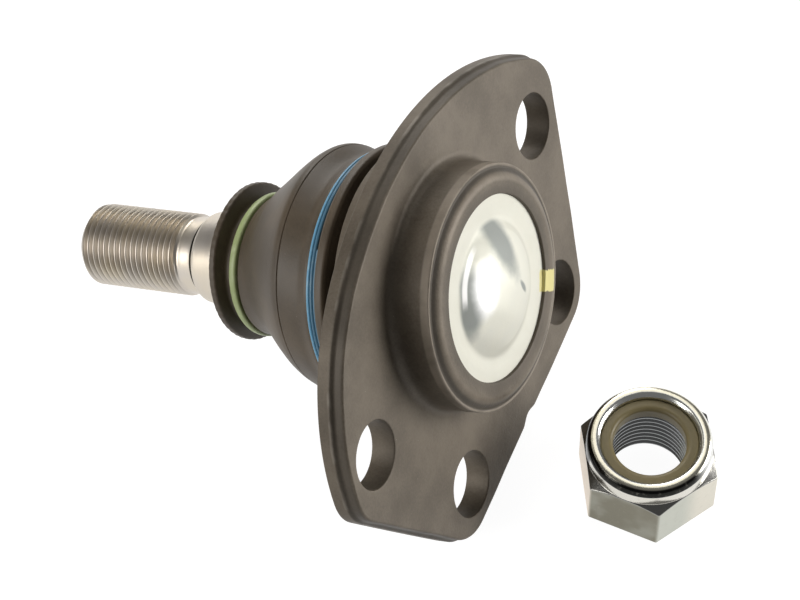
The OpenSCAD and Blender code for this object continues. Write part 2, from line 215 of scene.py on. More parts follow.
def soften(points, cuts, steps=5, closed=False):
    """Rounds a polyline's corners. Each corner P with cut c becomes (1-t)^2 A + 2t(1-t) P + t^2 B, a curve
    between the points A and B that lie c before and after it. A point just outside each end keeps the
    straights straight. points is (n, ..., 2), so polylines with like corners are rounded together."""
    p = np.asarray(points, float)
    count = len(p)
    out = [] if closed else [p[:1]]
    t = np.linspace(0, 1, steps).reshape((-1,) + (1,) * (p.ndim - 1))
    for i in range(count) if closed else range(1, count - 1):
        here, before, after = p[i], p[i - 1], p[(i + 1) % count]
        if cuts[i] == 0:
            out.append(here[None])
            continue
        ways = []
        for other in (before, after):
            span = other - here
            size = np.maximum(np.linalg.norm(span, axis=-1, keepdims=True), 1e-9)
            cut = np.minimum(cuts[i], 0.42 * size)
            ways.append((span / size, cut, np.minimum(1.2 * cut, 0.49 * size)))
        a = here + ways[0][0] * ways[0][1]
        b = here + ways[1][0] * ways[1][1]
        curve = (1 - t) ** 2 * a[None] + 2 * t * (1 - t) * here[None] + t**2 * b[None]
        out += [(here + ways[0][0] * ways[0][2])[None], curve, (here + ways[1][0] * ways[1][2])[None]]
    if not closed:
        out.append(p[-1:])
    return np.concatenate(out)


def rounded(corners, steps=5, closed=False):
    """soften() for one polyline, given as (radius, level, cut) rows."""
    c = np.asarray(corners, float)
    return soften(c[:, :2], c[:, 2], steps, closed)


def grid_quads(rows, columns, wrap_rows=False, wrap_columns=True):
    """Corner indices of the quads of a rows x columns grid of points."""
    i = np.arange(rows if wrap_rows else rows - 1)
    j = np.arange(columns if wrap_columns else columns - 1)
    i, j = np.meshgrid(i, j, indexing="ij")
    i2, j2 = (i + 1) % rows, (j + 1) % columns
    quads = [i * columns + j, i * columns + j2, i2 * columns + j2, i2 * columns + j]
    return np.stack(quads, -1).reshape(-1, 4)


def direction(a):
    """(cos a, sin a) for an angle or an array of angles."""
    return np.stack([np.cos(a), np.sin(a)], -1)


def turned(profile, angles):
    """(r cos a, r sin a, z) for every (r, z) of the profile and every angle a: rows x columns x 3."""
    r, z = profile[..., 0], profile[..., 1]
    if r.ndim == 1:
        r, z = r[:, None], z[:, None]
    return np.stack([r * np.cos(angles), r * np.sin(angles), z + 0 * angles], -1)


def around(count):
    """count angles evenly around a circle."""
    return np.linspace(0, 2 * math.pi, count, endpoint=False)


def smooth_step(value, low, high):
    """t^2 (3 - 2t) with t going from 0 at low to 1 at high."""
    t = np.clip((value - low) / (high - low), 0, 1)
    return t * t * (3 - 2 * t)


class Surface:
    """Points and faces gathered from several grids, made into one closed mesh."""

    def __init__(self):
        self.points, self.faces, self.size = [], [], 0

    def add(self, points, faces):
        p = np.asarray(points, float).reshape(-1, 3)
        self.points.append(p)
        self.faces.append(np.asarray(faces) + self.size)
        self.size += len(p)

    def add_grid(self, grid, wrap_rows=False):
        self.add(grid, grid_quads(grid.shape[0], grid.shape[1], wrap_rows))

    def make(self, name, placement, crease=38):
        """One object from all the grids: doubles merged, faces outwards, smooth but for edges that turn by
        more than crease degrees."""
        points = placement.at(np.concatenate(self.points))
        faces = [f for part in self.faces for f in part.tolist()]
        mesh = bpy.data.meshes.new(name)
        mesh.from_pydata(points.tolist(), [], faces)
        bm = bmesh.new()
        bm.from_mesh(mesh)
        bmesh.ops.remove_doubles(bm, verts=bm.verts, dist=0.002 * MM)
        bmesh.ops.dissolve_degenerate(bm, edges=bm.edges, dist=0.0005 * MM)
        bmesh.ops.recalc_face_normals(bm, faces=bm.faces)
        open_edges = sum(1 for e in bm.edges if not e.is_manifold)
        print(f"{name}: {len(bm.faces)} faces, {open_edges} open edges")
        bm.to_mesh(mesh)
        bm.free()
        mesh.polygons.foreach_set("use_smooth", np.ones(len(mesh.polygons), bool))
        mesh.set_sharp_from_angle(angle=math.radians(crease))
        mesh.update()
        piece = bpy.data.objects.new(name, mesh)
        bpy.context.collection.objects.link(piece)
        return piece


def one_grid(name, placement, grid, crease=38, wrap_rows=False):
    """One object from one grid."""
    surface = Surface()
    surface.add_grid(grid, wrap_rows)
    return surface.make(name, placement, crease)


# Shares of a turn at which a thread's section has its rows.
THREAD_ROWS = np.array([0.0, 0.055, 0.10, 0.235, 0.37, 0.41, 0.5, 0.59, 0.63, 0.765, 0.90, 0.945])


def thread_shape(turn_share, pitch, crest_flat=0.11, depth_share=0.6134):
    """Depth below the crest of a 60 degree thread at a share of a turn. Crest and root are flat, and the
    flanks fall by sqrt(3) of the way along the axis."""
    from_crest = np.abs((turn_share + 0.5) % 1.0 - 0.5)
    return np.clip((from_crest - crest_flat / 2) * pitch * math.sqrt(3), 0, depth_share * pitch)


def thread_grid(low, high, pitch, angles, radius_of):
    """Grid that follows a right-hand thread: level = pitch (k + row share + a / 2 pi), held between low
    and high. radius_of(level, share) gives the radius. Returns the points and the quads, whose last
    column meets the first one turn further on."""
    turns = np.arange(math.floor(low / pitch) - 2, math.ceil(high / pitch) + 2)
    shares = (turns[:, None] + THREAD_ROWS[None]).ravel()
    free = pitch * (shares[:, None] + angles[None] / (2 * math.pi))
    level = np.clip(free, low, high)
    radius = radius_of(level, shares[:, None] + 0 * level)
    grid = np.stack([radius * np.cos(angles), radius * np.sin(angles), level], -1)
    rows, columns = level.shape
    step, last = len(THREAD_ROWS), columns - 1
    k = np.arange(rows - step - 1)
    seam = [k * columns + last, (k + step) * columns, (k + 1 + step) * columns, (k + 1) * columns + last]
    return grid, np.concatenate([grid_quads(rows, columns, wrap_columns=False), np.stack(seam, -1)])


# Materials

def first_node(tree, kind):
    """The node of a type that Blender itself puts into a new tree."""
    return next(n for n in tree.nodes if n.type == kind)


class Value:
    """A socket that becomes Math nodes when it is used in an expression."""

    def __init__(self, finish, socket):
        self.finish, self.socket = finish, socket

    def _math(self, operation, *others, swap=False):
        values = [self, *others]
        if swap:
            values.reverse()
        return self.finish.node("ShaderNodeMath", {"operation": operation}, *values)

    def __add__(self, other):
        return self._math("ADD", other)

    def __sub__(self, other):
        return self._math("SUBTRACT", other)

    def __mul__(self, other):
        return self._math("MULTIPLY", other)

    def __truediv__(self, other):
        return self._math("DIVIDE", other)

    def __rsub__(self, other):
        return self._math("SUBTRACT", other, swap=True)

    def __rtruediv__(self, other):
        return self._math("DIVIDE", other, swap=True)

    __radd__, __rmul__ = __add__, __mul__

    def power(self, other):
        return self._math("POWER", other)

    def size(self):
        return self._math("ABSOLUTE")

    def most(self, other):
        return self._math("MAXIMUM", other)

    def angle_to(self, other):
        """Angle in radians of the direction (self, other), 0 along the first."""
        return self._math("ARCTAN2", other, swap=True)

    def ramp(self, low, high):
        """0 below low, 1 above high and a smooth rise between them."""
        settings = {"interpolation_type": "SMOOTHSTEP"}
        return self.finish.node("ShaderNodeMapRange", settings, self, low, high, 0.0, 1.0)

    def within(self, low, high, soft):
        """1 between low and high, falling to 0 over soft outside them."""
        return self.ramp(low - soft, low) * (1 - self.ramp(high, high + soft))


class Finish:
    """A material with one Principled shader. node() adds any node and returns one of its outputs as a
    Value. Lengths and places are in millimetres."""

    def __init__(self, name, **constants):
        self.material = bpy.data.materials.new(name)
        self.material.use_nodes = True
        self.tree = self.material.node_tree
        self.shader = first_node(self.tree, "BSDF_PRINCIPLED")
        for socket, value in constants.items():
            self.shader.inputs[socket.replace("_", " ")].default_value = value
        self.here = self.node("ShaderNodeTexCoord", {}, output="Object")

    def node(self, kind, settings, *inputs, output=0, **named):
        made = self.tree.nodes.new(kind)
        for key, value in settings.items():
            setattr(made, key, value)
        pairs = list(zip(made.inputs, inputs))
        pairs += [(made.inputs[k.replace("_", " ")], v) for k, v in named.items()]
        for socket, value in pairs:
            if isinstance(value, Value):
                self.tree.links.new(value.socket, socket)
            elif value is not None:
                socket.default_value = value
        return Value(self, made.outputs[output])

    def noise(self, size, detail=2.0, roughness=0.5, at=None):
        """Noise from 0 to 1 with lumps about that size."""
        return self.node("ShaderNodeTexNoise", {}, Vector=at or self.here, Scale=1 / (size * MM),
                         Detail=detail, Roughness=roughness)

    def cells(self, size):
        """Distance to the nearest of scattered points, in shares of size."""
        return self.node("ShaderNodeTexVoronoi", {}, Vector=self.here, Scale=1 / (size * MM))

    def along(self, placement, axis):
        """Distance from a placement's origin along an axis."""
        kind, origin = "ShaderNodeVectorMath", tuple(placement.origin)
        offset = self.node(kind, {"operation": "SUBTRACT"}, self.here, origin)
        return self.node(kind, {"operation": "DOT_PRODUCT"}, offset, tuple(axis / MM), output="Value")

    def place_in(self, placement):
        """Distances from a placement's origin along its x, y and z axes, and from its z axis."""
        x, y, z = [self.along(placement, axis) for axis in (placement.x, placement.y, placement.z)]
        return x, y, z, (x * x + y * y).power(0.5)

    def ray(self, kind):
        """1 for light rays of one kind, such as Is Camera Ray."""
        return self.node("ShaderNodeLightPath", {}, output=kind)

    def mix(self, share, a, b):
        """Colour a where share is 0 and b where it is 1."""
        a, b = [v if isinstance(v, Value) else (*v, 1.0) for v in (a, b)]
        unused = [None] * 5
        return self.node("ShaderNodeMix", {"data_type": "RGBA"}, share, *unused, a, b, output=2)

    def tinted(self, base, *tints):
        """A colour under several tints, each a share and a colour, laid on in their order."""
        for share, tint in tints:
            base = self.mix(share, base, tint)
        return base

    def bump(self, height, distance, after=None):
        """Normal of a surface whose height varies by distance as height goes from 0 to 1."""
        return self.node("ShaderNodeBump", {}, Distance=distance * MM, Height=height, Normal=after)

    def set(self, **sockets):
        for key, value in sockets.items():
            self.tree.links.new(value.socket, self.shader.inputs[key.replace("_", " ")])
        return self


def dress(piece, finish):
    """Gives a piece or a CAD node its finish."""
    piece.data.materials.clear()
    piece.data.materials.append(finish.material)


def scaled(c, k):
    """A colour made lighter or darker by k, kept between 0 and 1."""
    return tuple(min(1.0, v * k) for v in c)


# Angles of the bolt holes about the body's z axis, in degrees.
HOLE_ANGLES = (90, 36.4, -36.4, -90)
PAINT_ANGLE = math.radians(43.3)
PAINT_REACH = (18.3, 23.1)
PAINT_HALF_WIDTH = 2.4


def hole_middles(circle_r):
    """Middles of the flange's bolt holes in the body's x and y: circle_r (cos a, sin a)."""
    return circle_r * direction(np.radians(HOLE_ANGLES))


def paint_mask(f):
    """1 on the dab of paint that runs outwards across the cap's edge, 0 elsewhere."""
    way = math.cos(PAINT_ANGLE) * BODY.x + math.sin(PAINT_ANGLE) * BODY.y
    wobble = (f.noise(1.1, 2) - 0.5) * 0.9
    out = f.along(BODY, way) + wobble
    across = f.along(BODY, np.cross(BODY.z, way)).size() + wobble
    front = f.along(BODY, BODY.z).ramp(19.0, 19.5)
    inside = 1 - across.ramp(PAINT_HALF_WIDTH - 0.3, PAINT_HALF_WIDTH)
    return out.within(*PAINT_REACH, 0.3) * inside * front


def rim_light_and_shade(f, base, dark, barrel, level, radius):
    """Painted highlights, broken into patches, on the rolled rim's crest and corner, and painted shade on the
    slope between them and inside next to the cap.
    """
    high = level.ramp(19.6, 20.2)
    patchy = f.noise(6, 2).ramp(0.15, 0.6)
    # Painted shade on the slope and inside next to the cap; painted highlights on the crest and the corner.
    slope = radius.within(24.2, 24.8, 0.7) * high
    inner = (1 - radius.ramp(20.2, 22.0)) * high
    crest = radius.within(22.7, 23.1, 0.9) * high * patchy
    corner = radius.within(barrel - 0.45, barrel, 0.3) * level.ramp(18.6, 19.2) * patchy
    return f.tinted(base, (slope * 0.75, scaled(dark, 0.45)), (inner * 0.5, scaled(dark, 0.7)),
                    (crest * 0.3, (0.34, 0.29, 0.23)), (corner * 0.45, (0.38, 0.33, 0.27)))


def phosphate_finish(s, paint):
    """Satin phosphated forging: cloudy brown-grey with a fine grain, pale specks and a dab of paint, with painted
    highlights and shade on the rolled rim and a painted highlight on the straight edge. Round the flange's outer
    edge runs painted shade in front of the parting line, with a painted highlight on the parting line itself."""
    f = Finish("phosphated_forging", Specular_IOR_Level=0.42, Metallic=0.25)
    cloud = f.noise(14, 3, 0.55)
    grain = f.noise(0.55, 3, 0.6)
    dark = s["steel_dark"]
    x, y, level, radius = f.place_in(BODY)
    # Painted highlight on the wall of the straight edge that the flange stands on.
    foot = x.ramp(s["edge_reach"] - 1.4, s["edge_reach"] - 0.2)
    outer = 1 - foot
    for hole_x, hole_y in hole_middles(s["hole_circle_r"]).tolist():
        away = ((x - hole_x) * (x - hole_x) + (y - hole_y) * (y - hole_y)).power(0.5)
        outer = outer * away.ramp(s["hole_r"] + 0.6, s["hole_r"] + 1.0)
    wavy, parting = level + (f.noise(4, 2) - 0.5) * 0.6, s["parting"]
    # Painted shade round the flange's outer edge in front of the parting line.
    edge_shade = outer * wavy.within(parting + 0.1, parting + 2.1, 0.6)
    # Painted highlight, broken by noise, on the parting line.
    line = outer * wavy.within(parting - 0.4, parting, 0.3) * f.noise(6, 3).ramp(0.4, 0.7)
    specks = (1 - f.cells(1.9).ramp(0.03, 0.075)) * f.noise(5, 2).ramp(0.52, 0.66)
    base = f.mix((cloud * 0.9 + grain * 0.45 - 0.17).ramp(0.25, 0.75), dark, s["steel"])
    base = f.tinted(base, (specks * 0.55, (0.42, 0.39, 0.34)), (edge_shade * 0.55, scaled(dark, 0.35)),
                    (line * 0.35, (0.34, 0.31, 0.27)), (foot * (0.25 + cloud * 0.3), (0.26, 0.225, 0.18)))
    base = rim_light_and_shade(f, base, dark, s["barrel_r"], level, radius)
    base = f.mix(paint_mask(f) * 0.85, base, paint)
    normal = f.bump(f.noise(3.2, 2), 0.10, after=f.bump(grain, 0.045))
    return f.set(Base_Color=base, Roughness=0.5 + grain * 0.16 - cloud * 0.08, Normal=normal)


def cap_finish(s):
    """Pressed zinc: a matte cream rim and a polished dome, with painted highlights in the dome's middle and at its
    foot, and grey patches of painted dark reflection and shade.
    """
    f = Finish("bright_zinc_cap")
    x, y, _, radius = f.place_in(BODY)
    cloud = f.noise(5, 3, 0.6)
    fine = f.noise(0.5, 3, 0.6)

    def patch(cx, cy, along_way, half_length, half_width, soft=0.5):
        """1 in an ellipse round (cx, cy) whose long axis points along_way degrees from the body's x."""
        c, d = math.cos(math.radians(along_way)), math.sin(math.radians(along_way))
        u = ((x - cx) * c + (y - cy) * d) / half_length
        v = ((y - cy) * c - (x - cx) * d) / half_width
        away = (u * u + v * v).power(0.5) + (cloud - 0.5) * 0.5
        return 1 - away.ramp(1 - soft, 1 + soft * 0.6)

    edge = s["dome_r"]
    dome = 1 - radius.ramp(edge - 0.4, edge + 0.8)
    # Painted shade on one side of the dome's foot.
    foot = radius.within(edge - 1.6, edge - 0.8, 0.5) * (x + y).ramp(-2, 6)
    # Painted dark reflections and shade in grey patches on the dome.
    grey = patch(-8.2, 6.0, -14, 8.6, 3.8).most(patch(-6.6, -9.6, -42, 8.4, 3.6))
    grey = grey.most(patch(4.5, 4.4, 10, 2.2, 0.7))
    # Painted shade that dims a glint on the dome's foot.
    glint_dimmer = patch(-12.3, -0.4, 70, 4.6, 2.4)
    # Painted highlights in the dome's middle and on its foot.
    bright = patch(-5.8, -5.2, -40, 5.6, 3.2, 0.6)
    foot_highlight = radius.within(edge - 1.4, edge - 0.7, 0.4) * patch(-11.2, -6.6, -60, 6.5, 3.0, 0.4)
    paint = paint_mask(f)
    base = f.tinted(
        s["zinc"],
        (cloud.ramp(0.3, 0.75) * 0.5, (0.72, 0.71, 0.62)),
        (dome * (1 - cloud.ramp(0.2, 0.8)) * 0.25, (0.58, 0.585, 0.53)),
        (foot * 0.35, (0.55, 0.54, 0.46)),
        (grey * dome * 0.9, (0.25, 0.27, 0.26)),
        (glint_dimmer * dome * 0.6, (0.36, 0.36, 0.31)),
        (bright, (0.97, 0.975, 0.98)),
        (foot_highlight, (0.95, 0.95, 0.94)),
        (fine.ramp(0.62, 0.8) * 0.25, (0.5, 0.5, 0.46)),
        (paint, s["paint"]))
    normal = f.bump(fine, 0.012, after=f.bump(f.noise(4.5, 2), 0.07))
    return f.set(Base_Color=base, Roughness=0.62 - dome * 0.1 + grey * 0.06 + fine * 0.06, Normal=normal,
                 Metallic=(0.2 + dome * 0.15 + bright * 0.3) * (1 - paint))


def machined_finish(s):
    """Turned steel: fine rings around the stud's axis, a warm oily film in places, painted shade in the groove
    behind the thread and in the thread's roots."""
    f = Finish("machined_steel", Metallic=1.0)
    x, y, along, radius = f.place_in(STUD)
    squeezed = 0.05 * MM
    ringed = f.node("ShaderNodeCombineXYZ", {}, x * squeezed, y * squeezed, along * MM)
    rings = f.noise(0.16, 3, 0.7, at=ringed)
    broad = f.noise(1.6, 2, 0.5, at=ringed)
    # Painted shade, near black, in the groove behind the thread, where the cone's edge shades the neck.
    groove = along.within(-50.8, -49.9, 0.2)
    start, root_r = s["thread_start"], s["thread_r"] - 0.6
    # Painted shade in the thread's roots.
    root = (1 - along.ramp(-start - 1.7, -start - 0.2)) * radius.within(0, root_r, 0.4)
    base = f.tinted(
        s["steel"],
        (f.noise(9, 2).ramp(0.4, 0.7), (0.70, 0.63, 0.52)),
        (rings * 0.35, (0.45, 0.42, 0.38)),
        (groove, (0.02, 0.018, 0.015)),
        (root * 0.4, (0.16, 0.14, 0.115)))
    return f.set(Base_Color=base, Roughness=0.3 + broad * 0.12 + rings * 0.08, Normal=f.bump(rings, 0.012))


def rubber_finish(s):
    """Matte moulded rubber with a dusty bloom and small pale specks."""
    f = Finish("boot_rubber", Specular_IOR_Level=0.5)
    bloom = f.noise(11, 3, 0.6)
    grain = f.noise(0.5, 3, 0.6)
    c = s["rubber"]
    base = f.mix((bloom + grain * 0.3 - 0.15).ramp(0.3, 0.75), scaled(c, 0.72), scaled(c, 1.12))
    specks = (1 - f.cells(1.6).ramp(0.03, 0.07)) * f.noise(6, 2).ramp(0.5, 0.66)
    base = f.mix(specks * 0.5, base, (0.33, 0.30, 0.26))
    return f.set(Base_Color=base, Roughness=0.38 + bloom * 0.14 + grain * 0.08, Normal=f.bump(grain, 0.03))


# Level of the wound wire's middle in its first turn.
WIRE_LEVEL = -5.45


def coated_finish(name, c, pale, rough):
    """Thin coat on a ring: even colour with paler rubbed places and a light grain, and darker on the
    wire's side towards the housing, which lies in the shade."""
    f = Finish(name, Specular_IOR_Level=0.5)
    rub = f.noise(2.4, 3, 0.6)
    fine = f.noise(0.4, 2)
    shade = f.along(BODY, BODY.z).within(WIRE_LEVEL - 1.15, WIRE_LEVEL + 0.95, 0.4)
    base = f.tinted(c, (rub.ramp(0.45, 0.75) * 0.6, pale), (shade * 0.75, scaled(c, 0.3)))
    return f.set(Base_Color=base, Roughness=rough + fine * 0.12, Normal=f.bump(fine, 0.012))


# Slope of the cone that cuts the nut's corners.
CONE_SLOPE = math.tan(math.radians(30))
MIRRORED_DARK = (0.02, 0.02, 0.018)


def nut_finish(s):
    """Bright zinc on a machined nut: mirror-like with faint warm and cool tints and soft dents. The flats, the
    bevel on the corners and the collar carry painted reflections and painted shade, lighter or darker by the side
    that they face."""
    f = Finish("bright_zinc_nut", Metallic=1.0)
    tint = f.noise(8, 2, 0.5)
    marks = f.noise(1.1, 3, 0.65)
    x, y, level, radius = f.place_in(NUT)
    outside = radius.ramp(11.2, 11.6)
    hexagonal = radius.ramp(s["collar_r"] + 0.01, s["collar_r"] + 0.06)
    cone = s["corner_h"] + (s["flats"] / math.sqrt(3) - radius) * CONE_SLOPE
    bevel = hexagonal * (level - cone).ramp(-0.3, -0.1)
    flats = hexagonal - bevel
    collar = outside - hexagonal

    def facing(degrees, width, soft=2):
        """1 on the side of the nut that looks that way, within about the width in degrees."""
        c, d = math.cos(math.radians(degrees)), math.sin(math.radians(degrees))
        aside = (x * c + y * d).angle_to(y * c - x * d)
        return 1 - aside.size().ramp(math.radians(width - soft), math.radians(width + soft))

    turn = math.degrees(s["turn"])
    front = flats * facing(turn - 90, 30)
    base = f.tinted(
        s["zinc"],
        (tint.ramp(0.35, 0.65) * 0.6, (0.70, 0.72, 0.68)),
        (flats, (0.52, 0.53, 0.47)),
        # Painted shade on the flats that face the front, with lighter painted reflections in patches.
        (front, (0.20, 0.188, 0.142)),
        (front * tint.ramp(0.45, 0.7) * 0.6, (0.34, 0.34, 0.29)),
        # Painted light on the flats that face left and right.
        (flats * facing(turn - 150, 30), (0.80, 0.70, 0.58)),
        (flats * facing(turn - 8, 18, 12) * 0.6, (0.80, 0.74, 0.64)),
        # Painted dark reflection on the corner bevel.
        (bevel * 0.75, (0.10, 0.095, 0.085)),
        # Painted reflections on the collar: lighter low down, and near black on the sides that mirror dark
        # surroundings. Its top is cream.
        (collar * level.within(12.0, 15.5, 0.4) * 0.6, (0.60, 0.56, 0.48)),
        (collar * level.ramp(17.0, 17.4) * 0.8, (0.70, 0.66, 0.52)),
        (collar * level.within(15.8, 17.3, 0.2) * facing(-112, 100, 14), MIRRORED_DARK),
        (collar * level.within(11.8, 16.2, 0.4) * facing(-168, 28), MIRRORED_DARK),
        (marks.ramp(0.55, 0.8) * 0.3, (0.42, 0.40, 0.34)),
        ((1 - outside) * (1 - level.ramp(12.0, 13.5)), (0.30, 0.31, 0.31)))
    normal = f.bump(marks, 0.008, after=f.bump(f.noise(3.5, 2), 0.05))
    return f.set(Base_Color=base, Roughness=0.14 + marks * 0.12 + flats * 0.22, Normal=normal)


def plain_finish(name, c, rough, metallic=0.0):
    """A plain moulded or turned surface with a faint grain."""
    f = Finish(name, Metallic=metallic)
    grain = f.noise(1.2, 3, 0.6)
    base = f.mix(grain, scaled(c, 0.88), scaled(c, 1.08))
    return f.set(Base_Color=base, Roughness=rough + grain * 0.1, Normal=f.bump(grain, 0.01))


class Sky(Finish):
    """The world's own nodes, for the same kind of expressions."""

    def __init__(self, world):
        self.tree = world.node_tree


# Housing

# Radius at which the flange's flat faces meet the turned section.
PLATE_R = 30.0


def side_turn(a, b, side):
    """Angle of the outward normal of the line that touches two circles (x, y, radius) on one side:
    atan2(d) plus or minus acos((ra - rb) / |d|) for the step d between their centres."""
    dx, dy = b[0] - a[0], b[1] - a[1]
    return math.atan2(dy, dx) + side * math.acos((a[2] - b[2]) / math.hypot(dx, dy))


def flange_arcs(s):
    """The flange's outline as arcs, each (centre x, centre y, radius, first angle, last angle), which
    straight lines join."""
    r, big, low_r, low_big = s["corner_r"], s["round_side_r"], s["low_corner_r"], s["low_round_r"]
    outer_y = s["hole_circle_r"] + 2.2
    middle = big - s["round_reach"]
    outer = (middle - math.sqrt((big - r) ** 2 - outer_y**2), outer_y, r)
    inner = (s["edge_reach"] - r, s["hole_circle_r"] * math.sin(math.radians(HOLE_ANGLES[1])) + 0.4, r)
    start = s["low_round_turn"]
    low_x, low_y = middle - (big - low_big) * math.cos(start), -(big - low_big) * math.sin(start)
    y = low_r - s["low_reach"]
    low_outer = (low_x - math.sqrt((low_big - low_r) ** 2 - (y - low_y) ** 2), y, low_r)
    low_inner = (inner[0], -inner[1] - s["low_shift"], r)
    up, down = side_turn(outer, inner, 1), side_turn(low_outer, low_inner, -1)
    back = math.atan2(outer_y, outer[0] - middle)
    low_back = math.atan2(y - low_y, low_outer[0] - low_x)
    turn = 2 * math.pi
    return [(*low_inner, down, 0.0), (*inner, 0.0, up), (*outer, up, back),
            (middle, 0.0, big, back, math.pi + start),
            (low_x, low_y, low_big, math.pi + start, turn + low_back),
            (*low_outer, turn + low_back, turn + down)]


def flange_path(s, notch_at=-0.9, notch_half=3.6, notch_depth=1.0):
    """Points and outward normals around the flange: centre + radius (cos a, sin a) on each arc, and
    between the arcs sides that swell by swell (1 - u^2), but for the straight edge. That edge dips by
    depth (1 - (t / half)^2)^2 at its notch."""
    arc_step, side_step, edge_step, swell = 0.9, 1.5, 0.5, 0.06
    points, normals = [], []
    arcs = flange_arcs(s)
    for index, (cx, cy, r, first, last) in enumerate(arcs):
        n = direction(np.linspace(first, last, max(8, int(r * (last - first) / arc_step))))
        points.append(np.array([cx, cy]) + r * n)
        normals.append(n)
        next_x, next_y, next_r, next_first, _ = arcs[(index + 1) % len(arcs)]
        start = points[-1][-1]
        end = np.array([next_x, next_y]) + next_r * direction(next_first)
        gap = np.linalg.norm(end - start)
        if gap > 1:
            straight_edge = n[-1][0] > 0.999
            t = np.linspace(0, 1, int(gap / (edge_step if straight_edge else side_step)))[1:-1, None]
            out = 0 if straight_edge else swell * (1 - (2 * t - 1) ** 2)
            points.append(start + t * (end - start) + out * n[-1])
            normals.append(np.repeat(n[-1:], len(t), 0))
    p, n = np.concatenate(points), np.concatenate(normals)
    t = np.clip((p[:, 1] - notch_at) / notch_half, -1, 1)
    p[:, 0] -= notch_depth * (1 - t**2) ** 2 * (p[:, 0] > s["edge_reach"] - 0.01)
    keep = np.linalg.norm(p - np.roll(p, 1, 0), axis=1) > 0.01
    return p[keep], n[keep]


def inside_polygon(points, polygon):
    """Even-odd test: whether a ray from each point crosses the polygon's edges an odd number of times."""
    x, y = points[:, 0:1], points[:, 1:2]
    x1, y1 = polygon[:, 0][None], polygon[:, 1][None]
    x2, y2 = np.roll(polygon[:, 0], -1)[None], np.roll(polygon[:, 1], -1)[None]
    crosses = ((y1 > y) != (y2 > y)) & (x < (x2 - x1) * (y - y1) / np.where(y2 == y1, 1e-12, y2 - y1) + x1)
    return crosses.sum(1) % 2 == 1


def flat_fill(outline, circles):
    """Triangles of the flat region inside an outline and outside some circles, given as loops of points."""
    loops = [outline] + circles
    edges, start = [], 0
    for loop in loops:
        k = np.arange(len(loop))
        edges += np.stack([start + k, start + (k + 1) % len(loop)], -1).tolist()
        start += len(loop)
    found = delaunay_2d_cdt([Vector(p) for p in np.concatenate(loops)], edges, [], 0, 1e-7)
    flat, triangles = np.array([tuple(v) for v in found[0]]), np.array(found[2])
    middle = flat[triangles].mean(1)
    keep = inside_polygon(middle, outline)
    for loop in circles:
        keep &= ~inside_polygon(middle, loop)
    return flat, triangles[keep]


def housing_profile(s):
    """Section of the forging from the flange's front, over the barrel and rim, through the bore to the
    flange's back, as (radius, level, cut)."""
    front, back = s["flange_front"], s["flange_front"] - s["flange_t"]
    barrel, collar = s["barrel_r"], s["collar_r"]
    cap_r, cap_front, cap_back = 21.25, 21.2, 19.0
    bore, throat, mouth = 20.75, 15.56, -11.5
    seat_r, seat_end, bead = 23.95, -8.5, 24.65
    return rounded([
        (PLATE_R, front, 0), (barrel, front, 2.8), (barrel, 20.95, 0.6), (24.75, 20.7, 0.35),
        (23.3, 21.8, 0.7), (22.4, 22.06, 0.5), (20.3, 21.95, 0.5), (19.45, 21.85, 0.2),
        (19.35, cap_front, 0), (cap_r, cap_front, 0), (cap_r, cap_back, 0), (bore, cap_back, 0),
        (bore, seat_end, 0), (throat, seat_end, 0), (throat, -9.3, 0.2), (17.36, mouth, 0.3),
        (23.15, mouth, 0.4), (bead, -10.4, 0.4), (bead, -9.3, 0.3), (seat_r, seat_end, 0.2),
        (seat_r, 0, 0), (collar, 0, 0.5), (collar, back, 0.3), (PLATE_R, back, 0)], steps=6)


def flange_edge(s, path, normal, guard):
    """The flange's edge: its section, as offsets outwards and levels, carried along the outline. In front
    of the parting line it is trimmed back unevenly by a sum of sines of the way run round."""
    front, back, parting = s["flange_front"], s["flange_front"] - s["flange_t"], s["parting"]
    section = rounded([
        (-guard, front, 0), (-0.7, front, s["edge_rounding"]), (-0.55, parting + 0.75, 0.3),
        (-0.03, parting, 0.25), (0, back, 0.35), (-guard, back, 0)], steps=6)
    run = np.cumsum(np.linalg.norm(path - np.roll(path, 1, 0), axis=1))
    laps = 2 * math.pi * run / run[-1]
    trim = 0.06 * np.sin(7 * laps) + 0.04 * np.sin(17 * laps + 1) + 0.02 * np.sin(29 * laps + 2) - 0.1
    trimmed = np.clip((section[:, 1] - parting) / 0.5, 0, 1) * np.clip((section[:, 0] + guard) / 0.6, 0, 1)
    out = section[:, :1] + trimmed[:, None] * trim[None]
    level = np.repeat(section[:, 1:], len(path), 1)
    return np.concatenate([path[None] + out[..., None] * normal[None], level[..., None]], -1)


def build_housing(s):
    """The forging: a flange whose edge section is carried along its outline and round each hole, filled
    flat between, and a turned barrel, rim, bore, seat and collar."""
    front, back = s["flange_front"], s["flange_front"] - s["flange_t"]
    guard, wall_edge = 1.8, 0.6
    surface = Surface()
    angles = around(COLUMNS)
    surface.add_grid(turned(housing_profile(s), angles))
    path, normal = flange_path(s)
    surface.add_grid(flange_edge(s, path, normal, guard))
    ring = direction(around(72))
    wall = rounded([(wall_edge, front, 0), (0, front, 0.35), (0, back, 0.2), (wall_edge, back, 0)], steps=5)
    circles = [PLATE_R * direction(angles)]
    for middle in hole_middles(s["hole_circle_r"]):
        loop = middle + (s["hole_r"] + wall[:, None, :1]) * ring[None]
        surface.add_grid(np.concatenate([loop, np.repeat(wall[:, 1:2], len(ring), 1)[..., None]], -1))
        circles.append(middle + (s["hole_r"] + wall_edge) * ring)
    flat, triangles = flat_fill(path - guard * normal, circles)
    for level in (front, back):
        surface.add(np.column_stack([flat, np.full(len(flat), level)]), triangles)
    return surface.make("housing_forging", BODY)


# Cap

